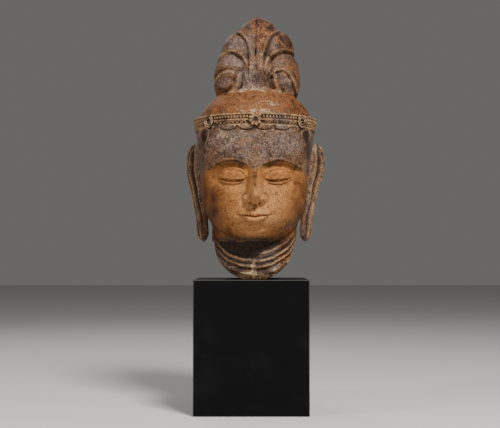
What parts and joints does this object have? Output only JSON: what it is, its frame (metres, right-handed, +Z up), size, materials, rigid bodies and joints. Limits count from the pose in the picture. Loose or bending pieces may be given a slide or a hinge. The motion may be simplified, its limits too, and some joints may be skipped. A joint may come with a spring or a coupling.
{
  "type": "stone buddha head on a block",
  "caption": "Carved stone head with a lobed topknot, jewelled headband and long ears, standing by the cut of its neck on a plain black rectangular block.",
  "frame": {"origin": "centre of the block's underside, on the surface that the part stands on", "axes": "+Z up through the block and head, -Y the way the face looks, +X to the right of someone who faces it"},
  "size_m": [0.1878, 0.194, 0.531],
  "materials": {
    "patinated_stone": "carved stone rubbed with ochre and dark brown patina, dull sheen",
    "black_wood": "black satin lacquer over wood, faint scuffs"
  },
  "bodies": {
    "root": {"stone_head": "patinated_stone", "wooden_block": "black_wood"}
  },
  "joints": []
}
